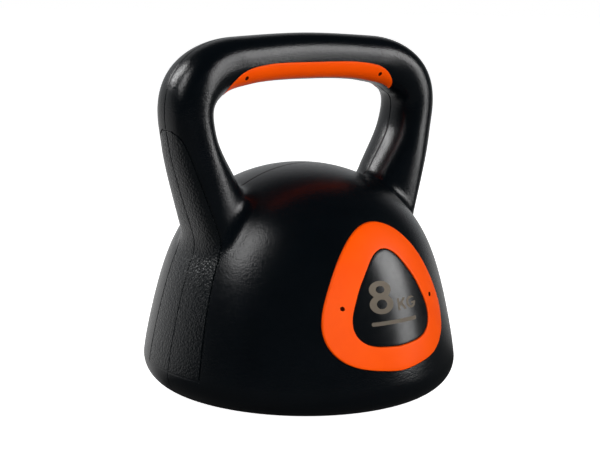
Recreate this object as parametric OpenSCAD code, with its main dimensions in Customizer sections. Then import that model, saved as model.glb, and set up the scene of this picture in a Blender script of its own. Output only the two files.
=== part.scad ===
// Kettlebell: a two-half plastic casing filled with a weight core, with orange trim and smooth badges.
// Millimetres. +Z is up, X runs along the handle bar, the front badge faces -Y.
// The origin is the middle of the base, on the floor.

/* [Body] */
// Largest radius of the casing
body_r = 104.5; // [100:0.5:108]
// Height of the top of the dome above the floor
dome_h = 145.3; // [142:0.1:148]
// Radius of the flat base
base_r = 85.8; // [84:0.2:90]
// Height at which the casing is widest
belly_z = 18; // [17:0.5:22]
// Wall thickness of the casing
wall = 3.6; // [3.2:0.1:4.2]
// Clearance across the seam between the two casing halves
seam_gap = 0.1; // [0.06:0.02:0.2]

/* [Handle] */
// Height of the middle of the grip bar's centreline
bar_z = 215; // [212:0.5:218]
// How far the bar's ends lie below its middle
bar_sag = 4.4; // [3:0.2:6]
// Half the distance between the handle's two corners
corner_x = 98.5; // [96:0.5:100]
// Distance from each leg's centreline to the middle, at the height of foot_z
foot_x = 72.7; // [70:0.5:75]
// Radius of the blend between the handle legs and the dome
blend = 6.5; // [4:0.5:10]

/* [Trim] */
// Depth of the recesses that hold the trim
trim_depth = 2; // [1.6:0.1:2.2]
// How far the trim rings stand out of the casing
ring_rise = 0.8; // [0.4:0.1:1.2]
// How far the badges stand out of the casing
badge_rise = 0.3; // [0:0.1:0.6]
// How far the grip inserts stand out of the handle
grip_rise = 0.3; // [0:0.1:0.6]
// Clearance around each piece of trim
trim_gap = 0.2; // [0.1:0.05:0.3]
// Diameter of the small pin holes in the trim
pin_d = 2.4; // [1.6:0.2:3]

/* [Side strips] */
// Width of the groove around each side strip
groove_w = 1; // [0.8:0.1:1.4]
// Depth of that groove
groove_t = 0.7; // [0.4:0.1:1]

/* [Inside] */
// Clearance between the weight core and what it touches
core_gap = 0.1; // [0.05:0.05:0.2]
// Diameter of the steel bar inside the handle
bar_d = 10; // [8:1:12]
// Radius of the filling hole in the base
hole_r = 15; // [12:1:18]

/* [Hidden] */
// the grip bar's centreline bends into each leg over this length of the leg
corner_leg = 38.2;
corner_bar = 43.5;
corner_pull = 0.65;
foot_z = 95;
u_bar = 0.279;
u_leg = 0.593;

// thickness towards the window, thickness away from it, and depth, along the half centreline
t_in = [[0, 14.6], [0.2, 14.3], [0.32, 16.8], [0.4, 18.4], [0.48, 17.2], [0.56, 14.4], [0.66, 14],
    [0.8, 23.1], [1, 34]];
t_out = [[0, 15.3], [0.25, 15.6], [0.4, 15], [0.55, 15.3], [0.7, 15.4], [1, 8.9]];
t_deep = [[0, 13], [0.3, 15.2], [0.45, 18.8], [0.6, 20.2], [0.75, 23.1], [1, 25.1]];
// the sections are superellipses with this exponent
squareness = 2.32;

// shape of the dome: how the squared radius falls from the belly to the top
dome_terms = [0.702, -0.234, 1.916, -0.861];
edge_turn = 95.7;
edge_r = base_r + (body_r - base_r) * sin(edge_turn);
edge_z = belly_z * (1 - cos(edge_turn));

// rounded triangles about the point at badge_z: radius as a sum of cosines of the angle from straight up
badge_z = 66;
ring_terms = [45.1, 2.5, -2, 4.3, 0.3, -0.6, 0.5];
badge_terms = [28.55, 2.23, -0.85, 3.77, 0.52, -0.14, 0.6, 0.13];
ring_pin_x = 35.9;
ring_pin_z = 68.7;

// upper edge of the grip insert, as height against distance from the middle
grip_edge = [[0, 212], [20, 212], [35, 211.5], [50, 209.4], [58, 206.4], [63.5, 202], [67.5, 196.6],
    [69.2, 191]];
grip_low_y = 6;
grip_pin_x = 54.8;
grip_pin_z = 202.9;

// half width of a side strip against height, seen from the side
strip_edge = [[19, 28.9], [41, 27.6], [62, 25.8], [84, 24.1], [104, 22.8], [122, 21.1], [137, 19.3],
    [155, 16.5], [163, 14.2], [167.5, 11.6], [170.5, 7], [172, 0]];

function unit(v) = v / norm(v);
function spow(v, p) = sign(v) * pow(abs(v), p);

// smooth curve through a table of [position, value]
function slot_of(tab, x, i = 0) = (i >= len(tab) - 2 || x < tab[i + 1][0]) ? i : slot_of(tab, x, i + 1);
function slope_of(tab, i) = i == 0 ? 0 :
    i == len(tab) - 1 ? (tab[i][1] - tab[i - 1][1]) / (tab[i][0] - tab[i - 1][0]) :
    (tab[i + 1][1] - tab[i - 1][1]) / (tab[i + 1][0] - tab[i - 1][0]);
function curve(tab, x) = let (i = slot_of(tab, x), h = tab[i + 1][0] - tab[i][0],
    t = min((x - tab[i][0]) / h, 1))
    (2 * t * t * t - 3 * t * t + 1) * tab[i][1] + (t * t * t - 2 * t * t + t) * h * slope_of(tab, i) +
    (3 * t * t - 2 * t * t * t) * tab[i + 1][1] + (t * t * t - t * t) * h * slope_of(tab, i + 1);

// ---- body: squared radius of the dome at a height, its slope, and the distance of a point from it
function dome_s(z) = (z - edge_z) / (dome_h - edge_z);
function dome_q(s) = 1 + s * (dome_terms[0] + s * (dome_terms[1] + s * (dome_terms[2] + s * dome_terms[3])));
function dome_rr(z) = let (s = dome_s(z)) edge_r * edge_r * (1 - s) * dome_q(s);
function dome_slope(z) = (dome_rr(z + 0.05) - dome_rr(z - 0.05)) / 0.1;
function dome_gap(p) = let (rr = p[0] * p[0] + p[1] * p[1], k = dome_slope(p[2]))
    (rr - dome_rr(p[2])) / sqrt(4 * rr + k * k);

function dome_at(t) = let (s = 1 - (1 - t) * (1 - t), z = edge_z + (dome_h - edge_z) * s)
    [sqrt(max(dome_rr(z), 0)), z];
function edge_at(a) = [base_r + (body_r - base_r) * sin(a), belly_z * (1 - cos(a))];
function shifted(p, q, r, o) = let (d = unit(r - q)) [p[0] + d[1] * o, p[1] - d[0] * o];

// outline of half the body, moved outwards by o
function body_outline(o, n) = concat(
    [[0, -min(o, 0)], [base_r, -min(o, 0)]],
    [for (i = [1:5]) let (a = edge_turn * i / 5, p = edge_at(a))
        let (s = shifted(p, edge_at(a - 1), edge_at(a + 1), o)) [s[0], max(s[1], -min(o, 0) + 0.01 * i)]],
    [for (i = [1:n - 1]) let (t = i / n) shifted(dome_at(t), dome_at(t - 0.01), dome_at(t + 0.005), o)],
    [[0, dome_h + o]]);

module body_solid(o, n = 14, fn = 60) {
    rotate_extrude($fn = fn) polygon(body_outline(o, n));
}

// ---- handle: half centreline from the middle of the bar (u = 0) to the foot of the leg (u = 1)
foot = [foot_x, foot_z];
knee = [corner_x, bar_z - bar_sag];
top_mid = [0, bar_z];
leg_dir = unit(foot - knee);
bar_dir = unit(top_mid - knee);
leg_end = knee + leg_dir * corner_leg;
bar_end = knee + bar_dir * corner_bar;
function bezier(a, b, c, d, t) = pow(1 - t, 3) * a + 3 * pow(1 - t, 2) * t * b +
    3 * (1 - t) * t * t * c + pow(t, 3) * d;
function path_at(u) = u < u_bar ?
    bezier(top_mid, [bar_end[0] / 3, bar_z], bar_end + bar_dir * bar_end[0] / 3, bar_end, u / u_bar) :
    u < u_leg ? bezier(bar_end, bar_end + (knee - bar_end) * corner_pull,
        leg_end + (knee - leg_end) * corner_pull, leg_end, (u - u_bar) / (u_leg - u_bar)) :
    leg_end + (foot - leg_end) * (u - u_leg) / (1 - u_leg);
function inward(u) = let (d = unit(path_at(u + 0.004) - path_at(u - 0.004))) [d[1], -d[0]];

// point of the handle's surface at u and section angle a (0 towards the window, 270 to the front)
function skin(u, a, o) = let (p = path_at(u), n = u < 0.004 ? [0, -1] : inward(u), v = min(u, 1),
    t = (cos(a) > 0 ? curve(t_in, v) : curve(t_out, v)) + o,
    r = t * spow(cos(a), 2 / squareness), q = p + n * r)
    [q[0], (curve(t_deep, v) + o) * spow(sin(a), 2 / squareness), q[1]];

// how far down the leg the skin, moved out by o, lies at distance b from the dome
function down_to(a, o, b, lo = 0.62, hi = 1.3, n = 12) = n == 0 ? (lo + hi) / 2 :
    let (m = (lo + hi) / 2) dome_gap(skin(m, a, o)) > b ? down_to(a, o, b, m, hi, n - 1) :
    down_to(a, o, b, lo, m, n - 1);

// rings of points down one half: along the bar, round the corner, down the leg and into the blend
u_plain = 0.69;
function leg_ring(s, o, m) = [for (j = [0:m - 1]) let (f = 360 * j / m, u = down_to(f, o, blend + o))
    skin(u_plain + (u - u_plain) * s, f, o)];
function blend_ring(w, o, m) = let (a = pow(blend - w, 2) / (4 * blend))
    [for (j = [0:m - 1]) let (f = 360 * j / m) skin(down_to(f, a + o, a + w + o), f, a + o)];
function foot_ring(w, o, m) = let (b = pow(blend - w, 2) / (4 * blend), a = b + w)
    [for (j = [0:m - 1]) let (f = 360 * j / m) skin(down_to(f, a + o, b + o), f, a + o)];
function half_rings(o, n, m) = concat(
    [for (i = [0:n]) [for (j = [0:m - 1]) skin(u_plain * i / n, 360 * j / m, o)]],
    [for (s = [0.27, 0.52, 0.76]) leg_ring(s, o, m)],
    [for (w = [1, 0.5, 0]) blend_ring(blend * w, o, m)],
    [for (w = [0.45, 0.9]) foot_ring(blend * w, o, m)],
    [[for (j = [0:m - 1]) skin(1.12, 360 * j / m, -2 + min(o, 0))]]);
function flip_x(ring) = [for (p = ring) [-p[0], p[1], p[2]]];

module handle_solid(o, n = 14, m = 24) {
    h = half_rings(o, n, m);
    k = len(h);
    rings = concat([for (i = [k - 1:-1:1]) flip_x(h[i])], h);
    c = len(rings);
    pts = concat([for (r = rings) each r], [[-foot_x * 0.9, 0, 80], [foot_x * 0.9, 0, 80]]);
    faces = concat(
        [for (i = [0:c - 2], j = [0:m - 1]) let (a = i * m + j, b = i * m + (j + 1) % m) [a, b + m, b]],
        [for (i = [0:c - 2], j = [0:m - 1]) let (a = i * m + j, b = i * m + (j + 1) % m) [a, a + m, b + m]],
        [for (j = [0:m - 1]) [c * m, j, (j + 1) % m]],
        [for (j = [0:m - 1]) [c * m + 1, (c - 1) * m + (j + 1) % m, (c - 1) * m + j]]);
    polyhedron(pts, faces);
}

// the whole casing shape, moved outwards by o
module casing(o) {
    body_solid(o);
    handle_solid(o);
}
module cavity(o) {
    body_solid(o, 10, 48);
    handle_solid(o, 10, 16);
}

// ---- outlines seen from the front, and prisms of them towards the front
function lobed(terms, g) = [for (a = [0:6:354]) let (r = g + terms * [for (k = [0:len(terms) - 1]) cos(k * a)])
    [r * sin(a), badge_z + r * cos(a)]];
function grip_outline(g) = let (e = grip_edge, last = len(e) - 1,
    r = [for (x = [0, 15, 30, 40, 48, 54, 58, 61, 63.5, 66, 68, 69.2]) [x, curve(e, x)]],
    q = [for (p = r) let (k = p[0] > 50 ? min((p[0] - 50) / 12, 1) : 0) [p[0] + g * k, p[1] + g * (1 - 0.6 * k)]])
    concat([for (i = [len(q) - 1:-1:1]) [-q[i][0], q[i][1]]], q, [[66 + g, 185], [-66 - g, 185]]);
module to_front(from = -140, to = -30) {
    translate([0, to, 0]) rotate([90, 0, 0]) linear_extrude(to - from) children();
}

module ring_prism(g) { to_front() polygon(lobed(ring_terms, g)); }
module badge_prism(g) { to_front() polygon(lobed(badge_terms, g)); }
module grip_prism(g) { to_front(-60, -grip_low_y + g) polygon(grip_outline(g)); }

module trim_recess() {
    difference() {
        ring_prism(trim_gap);
        body_solid(-trim_depth - trim_gap / 2);
    }
}
module grip_recess() {
    difference() {
        grip_prism(trim_gap);
        handle_solid(-trim_depth - trim_gap / 2);
    }
}

// ---- side strips: a shallow groove around a tapering panel with an arched top, on the outer side
module strip_shape(g) {
    e = strip_edge;
    zs = [19, 40, 62, 84, 93, 100, 111, 122, 137, 155, 163, 167.5, 170.5, 172];
    r = [for (z = zs) [max(curve(e, z) + (z < 172 ? g : 0), 0), z + (z < 20 ? -g : z > 166 ? g : 0)]];
    polygon(concat(r, [for (i = [len(r) - 1:-1:0]) [-r[i][0], r[i][1]]]));
}
module strip_grooves() {
    difference() {
        intersection() {
            rotate([90, 0, 90]) linear_extrude(300, center = true) difference() {
                strip_shape(groove_w / 2);
                strip_shape(-groove_w / 2);
            }
            rotate([90, 0, 0]) linear_extrude(80, center = true) for (s = [-1, 1])
                polygon([[s * 150, 0], [s * 60, 0], [s * 74, 100], [s * 92, 180], [s * 150, 180]]);
        }
        casing(-groove_t);
    }
}

// ---- one half of the casing, the front one
module half_casing() {
    difference() {
        casing(0);
        cavity(-wall);
        translate([-200, -seam_gap / 2, -1]) cube([400, 200, 300]);
        translate([0, 0, -1]) cylinder(r = hole_r, h = wall + 2, $fn = 48);
        translate([0, 0, -1]) cylinder(r = hole_r + 5, h = 2.2, $fn = 48);
        trim_recess();
        grip_recess();
        strip_grooves();
    }
}
// the rib along the inner half of the seam; the rear half has the matching rebate
module seam_rib(g, h, deep = 0) {
    difference() {
        intersection() {
            cavity(-wall / 2 - g);
            translate([-200, -seam_gap / 2 - 0.6, -1]) cube([400, h + 0.6, 300]);
        }
        cavity(-wall - deep);
        translate([0, 0, -1]) cylinder(r = hole_r + 6, h = 20, $fn = 48);
    }
}

module front_shell() {
    color([0.07, 0.085, 0.1]) resize([0, 0, 0]) union() {
        half_casing();
        seam_rib(0.15, 1.8);
    }
}
module rear_shell() {
    color([0.07, 0.085, 0.1]) resize([0, 0, 0]) difference() {
        mirror([0, 1, 0]) half_casing();
        seam_rib(0, 2.1, 1.2);
    }
}

module ring_part() {
    color([1, 0.36, 0.02]) resize([0, 0, 0]) difference() {
        intersection() {
            ring_prism(0);
            difference() {
                body_solid(ring_rise, 20);
                body_solid(-trim_depth);
            }
        }
        badge_prism(trim_gap);
        for (s = [-1, 1]) translate([s * ring_pin_x, 0, ring_pin_z]) rotate([90, 0, 0])
            translate([0, 0, 84]) cylinder(d = pin_d, h = 40, $fn = 16);
    }
}
module badge_part() {
    color([0.05, 0.055, 0.065]) resize([0, 0, 0]) intersection() {
        badge_prism(0);
        difference() {
            body_solid(badge_rise, 20);
            body_solid(-trim_depth);
        }
    }
}
module grip_part() {
    color([1, 0.36, 0.02]) resize([0, 0, 0]) difference() {
        intersection() {
            grip_prism(0);
            difference() {
                handle_solid(grip_rise);
                handle_solid(-trim_depth);
            }
        }
        for (s = [-1, 1]) translate([s * grip_pin_x, 0, grip_pin_z]) rotate([90, 0, 0])
            translate([0, 0, 13]) cylinder(d = pin_d - 0.2, h = 30, $fn = 16);
    }
}

module front_ring() { ring_part(); }
module rear_ring() { mirror([0, 1, 0]) ring_part(); }
module front_badge() { badge_part(); }
module rear_badge() { mirror([0, 1, 0]) badge_part(); }
module front_grip_insert() { grip_part(); }
module rear_grip_insert() { mirror([0, 1, 0]) grip_part(); }

// ---- the steel bar: straight through the grip, bent down into both legs, standing on the casing's floor
bend_r = 30;
leg_turn = 90 + atan2(corner_x - foot_x, bar_z - bar_sag - foot_z);
bend_x = corner_x - 0.5 - bend_r * tan(leg_turn / 2);
steel_z = bar_z - 1.5;
bend_at = [bend_x, steel_z - bend_r];
function turned(a) = bend_at + bend_r * [sin(a), cos(a)];
leg_top = turned(leg_turn);
leg_way = [cos(leg_turn), -sin(leg_turn)];
leg_long = (leg_top[1] - wall - 0.2 - bar_d / 2 * -cos(leg_turn)) / sin(leg_turn);
// stations as [x, z, turn], from the middle of the bar to the end of one leg
function steel_line(more) = concat(
    [[0, steel_z, 0]], [for (i = [0:12]) let (a = leg_turn * i / 12) concat(turned(a), a)],
    [concat(leg_top + leg_way * (leg_long + more), leg_turn)]);
module steel_bar(r, m, more = 0) {
    line = steel_line(more);
    stations = concat([for (i = [len(line) - 1:-1:1]) let (p = line[i]) [-p[0], p[1], -p[2]]], line);
    c = len(stations);
    pts = [for (p = stations, j = [0:m - 1]) let (k = r * cos(360 * j / m))
        [p[0] + k * sin(p[2]), r * sin(360 * j / m), p[1] + k * cos(p[2])]];
    polyhedron(pts, concat(
        [for (i = [0:c - 2], j = [0:m - 1]) let (a = i * m + j, b = i * m + (j + 1) % m) [a, b, b + m, a + m]],
        [[for (j = [m - 1:-1:0]) j], [for (j = [0:m - 1]) (c - 1) * m + j]]));
}
module handle_reinforcement() {
    color([0.45, 0.46, 0.48]) resize([0, 0, 0]) steel_bar(bar_d / 2, 16);
}

module weight_core() {
    color([0.5, 0.5, 0.48]) resize([0, 0, 0]) difference() {
        cavity(-wall - core_gap);
        steel_bar((bar_d / 2 + core_gap) / cos(15), 12, 8);
        translate([0, 0, -1]) cylinder(r = hole_r + core_gap, h = 11 + core_gap, $fn = 48);
    }
}

// ---- plug in the filling hole, its flange flush in a shallow recess of the base
module fill_plug() {
    color([0.09, 0.09, 0.1]) union() {
        translate([0, 0, 0.2]) cylinder(r = hole_r + 4.8, h = 0.9, $fn = 96);
        translate([0, 0, 0.2]) cylinder(r = hole_r - 0.1, h = 9.8, $fn = 96);
    }
}

front_shell();
rear_shell();
front_ring();
rear_ring();
front_badge();
rear_badge();
front_grip_insert();
rear_grip_insert();
weight_core();
handle_reinforcement();
fill_plug();
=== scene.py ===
"""Looks of the kettlebell: detailed casing halves, trim rings, badges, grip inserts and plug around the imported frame.
Lengths are worked out in millimetres and written in metres. +Z up, X along the grip bar, the front faces -Y."""
import math

import bmesh
import bpy
import numpy as np
from mathutils import Matrix, Vector


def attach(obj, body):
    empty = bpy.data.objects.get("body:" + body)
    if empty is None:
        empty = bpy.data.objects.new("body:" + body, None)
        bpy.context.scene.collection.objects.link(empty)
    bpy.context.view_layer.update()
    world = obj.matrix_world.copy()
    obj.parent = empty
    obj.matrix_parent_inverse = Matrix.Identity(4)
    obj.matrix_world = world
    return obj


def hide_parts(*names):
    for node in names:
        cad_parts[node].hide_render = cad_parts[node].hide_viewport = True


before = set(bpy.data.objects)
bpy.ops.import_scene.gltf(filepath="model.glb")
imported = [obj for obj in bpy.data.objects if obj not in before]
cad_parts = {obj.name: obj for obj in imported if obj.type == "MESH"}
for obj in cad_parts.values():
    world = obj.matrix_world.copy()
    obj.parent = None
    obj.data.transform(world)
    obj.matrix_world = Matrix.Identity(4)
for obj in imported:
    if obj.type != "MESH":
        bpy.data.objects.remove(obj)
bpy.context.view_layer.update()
MM = 0.001

# ---------------------------------------------------------------- shape of the casing, in millimetres
# the body: largest radius, radius of the base, height of the largest radius, height of the dome's top
BODY_R, BASE_R, BELLY_Z, DOME_H = 104.4, 85.8, 18.0, 145.3
# the dome's squared radius is a polynomial of the height above the rounded lower edge, which ends at EDGE_TURN
DOME_TERMS = (0.702, -0.234, 1.916, -0.861)
EDGE_TURN = math.radians(95.7)
EDGE_R = BASE_R + (BODY_R - BASE_R) * math.sin(EDGE_TURN)
EDGE_Z = BELLY_Z * (1 - math.cos(EDGE_TURN))
# reach of the blend between leg and dome, on the outer side and on the side of the window
BLEND_OUT, BLEND_IN = 6.5, 10.0
WALL = 3.6
# each half stops this far from the middle plane, and its edge is rounded off by SEAM_ROUND within SEAM_REACH
SEAM, SEAM_ROUND, SEAM_REACH = 0.05, 0.28, 0.62
HALF_WIDTH = 106.73

# centreline of the handle in the XZ plane: foot of the leg, corner, and middle of the bar
FOOT, KNEE, MID = np.array([72.7, 95.0]), np.array([98.48, 210.6]), np.array([0.0, 215.0])
# the corner's curve starts this far down the leg and along the bar, and is drawn this much towards the corner
CORNER_LEG, CORNER_BAR, CORNER_PULL = 38.2, 43.5, 0.65
# place along the centreline where the bar ends, where the leg starts, and how far it runs on past the foot at 1
U_BAR, U_LEG, U_END = 0.279, 0.593, 1.36
# half thickness towards the window, away from it, and to the front, along the centreline; SQUARE squares the section
T_IN = [[0, 14.6], [0.2, 14.3], [0.32, 16.8], [0.4, 18.4], [0.48, 17.2], [0.56, 14.4], [0.66, 14],
        [0.8, 23.1], [1, 34]]
T_OUT = [[0, 15.3], [0.25, 15.6], [0.4, 15], [0.55, 15.3], [0.7, 15.4], [1, 8.9]]
T_DEEP = [[0, 13], [0.3, 15.2], [0.45, 18.8], [0.6, 20.2], [0.75, 23.1], [1, 25.1]]
SQUARE = 2.32
# below LEG_LOW there is no leg inside the body: its distance is FAR
LEG_LOW, FAR = 44, 99.0

# rounded triangles about the point at BADGE_Z: radius as a sum of cosines of the angle from straight up
RING_TERMS = (45.1, 2.5, -2, 4.3, 0.3, -0.6, 0.5)
BADGE_TERMS = (28.55, 2.23, -0.85, 3.77, 0.52, -0.14, 0.6, 0.13)
BADGE_Z = 66.0
RING_RISE, BADGE_RISE, GRIP_RISE, TRIM_LOW = 0.8, 0.3, 0.3, -1.9
# pin holes: distance from the middle plane and height, radius, and depth or place of the bottom along Y
RING_PIN, RING_PIN_R, RING_PIN_DEEP = (35.9, 68.7), 1.4, 2.1
GRIP_PIN, GRIP_PIN_R, GRIP_PIN_Y = (54.8, 202.9), 1.35, -11.5
PIN_LONG = 20
# upper edge of the grip insert, as height against distance from the middle, with its end and its lower edge
GRIP_EDGE = [[0, 212], [20, 212], [35, 211.5], [50, 209.4], [58, 206.4], [63.5, 202], [67.5, 196.6],
             [69.2, 191]]
GRIP_END_X, GRIP_LOW_Y = 69.2, 6.0
# half width of the side strip against height
STRIP_LOW, STRIP_TOP, STRIP_ARCH, STRIP_ARCH_W = 19.4, 172, 170.5, 7
STRIP_EDGE = [[19, 28.9], [41, 27.6], [62, 25.8], [84, 24.1], [104, 22.8], [122, 21.1], [137, 19.3],
              [155, 16.5], [163, 14.2], [167.5, 11.6], [170.5, 7], [172, 0]]


def curve(tab, x):
    """Smooth curve through [position, value] pairs."""
    t = np.array(tab, float)
    p, v = t[:, 0], t[:, 1]
    m = np.zeros(len(p))
    m[1:-1] = (v[2:] - v[:-2]) / (p[2:] - p[:-2])
    m[-1] = (v[-1] - v[-2]) / (p[-1] - p[-2])
    x = np.asarray(x, float)
    i = np.clip(np.searchsorted(p, x, side="right") - 1, 0, len(p) - 2)
    h = p[i + 1] - p[i]
    s = np.clip((x - p[i]) / h, 0, 1)
    return ((2 * s ** 3 - 3 * s ** 2 + 1) * v[i] + (s ** 3 - 2 * s ** 2 + s) * h * m[i]
            + (3 * s ** 2 - 2 * s ** 3) * v[i + 1] + (s ** 3 - s ** 2) * h * m[i + 1])


def dome_rr(z):
    """Squared radius of the body at height z."""
    z = np.maximum(np.asarray(z, float), 0.02)
    s = (z - EDGE_Z) / (DOME_H - EDGE_Z)
    q = 1 + s * (DOME_TERMS[0] + s * (DOME_TERMS[1] + s * (DOME_TERMS[2] + s * DOME_TERMS[3])))
    up = EDGE_R ** 2 * (1 - s) * q
    top = EDGE_R ** 2 * (1 - s) * (1 + sum(DOME_TERMS))
    low = (BASE_R + (BODY_R - BASE_R) * np.sqrt(np.maximum(1 - ((BELLY_Z - z) / BELLY_Z) ** 2, 0))) ** 2
    return np.where(z < EDGE_Z, low, np.where(s > 1, top, up))


def dome_gap(x, y, z):
    """Signed distance, roughly, to the body: negative inside it."""
    rr = x * x + y * y
    k = (dome_rr(z + 0.03) - dome_rr(z - 0.03)) / 0.06
    return (rr - dome_rr(z)) / np.sqrt(4 * rr + k * k + 1e-6)


def unit(v):
    return v / np.linalg.norm(v)


LEG_END = KNEE + unit(FOOT - KNEE) * CORNER_LEG
BAR_END = KNEE + unit(MID - KNEE) * CORNER_BAR


def bezier(a, b, c, d, t):
    """Points of a cubic curve at shares t."""
    t = t[:, None]
    return (1 - t) ** 3 * a + 3 * (1 - t) ** 2 * t * b + 3 * (1 - t) * t * t * c + t ** 3 * d


def path_at(u):
    """Half centreline of the handle: u 0 in the middle of the bar, 1 at the foot of the leg."""
    u = np.atleast_1d(np.asarray(u, float))
    bar_dir = unit(MID - KNEE)
    bar = bezier(MID, np.array([BAR_END[0] / 3, MID[1]]), BAR_END + bar_dir * BAR_END[0] / 3, BAR_END,
                 np.clip(u / U_BAR, 0, 1))
    turn = bezier(BAR_END, BAR_END + (KNEE - BAR_END) * CORNER_PULL, LEG_END + (KNEE - LEG_END) * CORNER_PULL,
                  LEG_END, np.clip((u - U_BAR) / (U_LEG - U_BAR), 0, 1))
    leg = LEG_END + (FOOT - LEG_END) * ((u - U_LEG) / (1 - U_LEG))[:, None]
    return np.where((u < U_BAR)[:, None], bar, np.where((u < U_LEG)[:, None], turn, leg))


LINE_U = np.linspace(0, U_END, 1100)
LINE_P = path_at(LINE_U)
LINE_T = np.gradient(LINE_P, LINE_U, axis=0)
LINE_T[0, 1] = 0
MAP_X, MAP_Z, MAP_STEP = np.arange(0, 130, 0.5), np.arange(20, 246, 0.5), 0.5


def handle_map():
    """u and the distance towards the window of the nearest centreline point, over the XZ plane."""
    gx, gz = np.meshgrid(MAP_X, MAP_Z, indexing="ij")
    x, z = gx.ravel(), gz.ravel()
    u, n = np.empty(len(x)), np.empty(len(x))
    for a in range(0, len(x), 8000):
        s = slice(a, a + 8000)
        i = ((x[s, None] - LINE_P[:, 0]) ** 2 + (z[s, None] - LINE_P[:, 1]) ** 2).argmin(1)
        t = LINE_T[i]
        d = np.stack([x[s], z[s]], 1) - LINE_P[i]
        ui = np.clip(LINE_U[i] + (d * t).sum(1) / (t * t).sum(1), 0, U_END)
        px, pz = np.interp(ui, LINE_U, LINE_P[:, 0]), np.interp(ui, LINE_U, LINE_P[:, 1])
        tx, tz = np.interp(ui, LINE_U, LINE_T[:, 0]), np.interp(ui, LINE_U, LINE_T[:, 1])
        k = np.hypot(tx, tz)
        n[s] = (x[s] - px) * tz / k - (z[s] - pz) * tx / k
        u[s] = ui
    return u.reshape(gx.shape), n.reshape(gx.shape)


MAP_U, MAP_N = handle_map()


def from_map(x, z):
    """Place along the centreline and distance from it, read off the map."""
    i = np.clip((np.abs(x) - MAP_X[0]) / MAP_STEP, 0, len(MAP_X) - 1.001)
    j = np.clip((z - MAP_Z[0]) / MAP_STEP, 0, len(MAP_Z) - 1.001)
    a, b = i.astype(int), j.astype(int)
    p, q = i - a, j - b
    out = []
    for m in (MAP_U, MAP_N):
        out.append((1 - p) * (1 - q) * m[a, b] + p * (1 - q) * m[a + 1, b]
                   + (1 - p) * q * m[a, b + 1] + p * q * m[a + 1, b + 1])
    return out


def handle_gap(x, y, z):
    """How far the handle's section must grow to reach a point, and the side: 1 towards the window, -1 away."""
    u, n = from_map(x, z)
    v = np.minimum(u, 1)
    t = np.where(n > 0, curve(T_IN, v), curve(T_OUT, v))
    d = curve(T_DEEP, v)
    way = np.sign(n)
    n, y = np.abs(n) + 1e-6, np.abs(y) + 1e-6
    r = ((n / t) ** SQUARE + (y / d) ** SQUARE) ** (1 / SQUARE)
    a = np.clip((r - 1) * np.hypot(n, y) / np.maximum(r, 1e-6), -0.8 * np.minimum(t, d), 200)
    for _ in range(5):
        p, q = (n / (t + a)) ** SQUARE, (y / (d + a)) ** SQUARE
        a = np.clip(a + (p + q - 1) / (SQUARE * (p / (t + a) + q / (d + a))), -0.85 * np.minimum(t, d), 250)
    gap = np.where((z < LEG_LOW) | (u >= U_END - 0.001), FAR, a)
    return gap, way * np.sqrt(p / (p + q))


def casing_gap(x, y, z):
    """Handle and dome with a blend between them, wide towards the window and narrow on the outside."""
    (a, side), b = handle_gap(x, y, z), dome_gap(x, y, z)
    c = np.clip((side + 0.3) / 1.1, 0, 1)
    k = BLEND_OUT + (BLEND_IN - BLEND_OUT) * c * c * (3 - 2 * c)
    h = np.maximum(k - np.abs(a - b), 0)
    return np.maximum(np.minimum(a, b) - h * h / (4 * k), -z)


def slope(p, f=casing_gap, e=0.02):
    """Gradient of a distance at points."""
    x, y, z = p.T
    return np.stack([f(x + e, y, z) - f(x - e, y, z), f(x, y + e, z) - f(x, y - e, z),
                     f(x, y, z + e) - f(x, y, z - e)], 1) / (2 * e)


def onto(p, rounds):
    """Moves points to the casing's surface."""
    for _ in range(rounds):
        g = slope(p)
        p = p - g * (casing_gap(*p.T) / np.maximum((g * g).sum(1), 1e-9))[:, None]
    return p


def normals(p):
    """Outward directions of the casing's surface."""
    g = slope(p)
    return g / np.linalg.norm(g, axis=1)[:, None]


# ---------------------------------------------------------------- a quarter of the casing as a net of quads
def spread(first, limit, step):
    """Planes of the grid from the mirror plane outwards: fine near it, then even."""
    out = [-first[0], first[0]]
    for f in first[1:]:
        out.append(out[-1] + f)
    while out[-1] < limit:
        out.append(out[-1] + step)
    return np.array(out)


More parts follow.
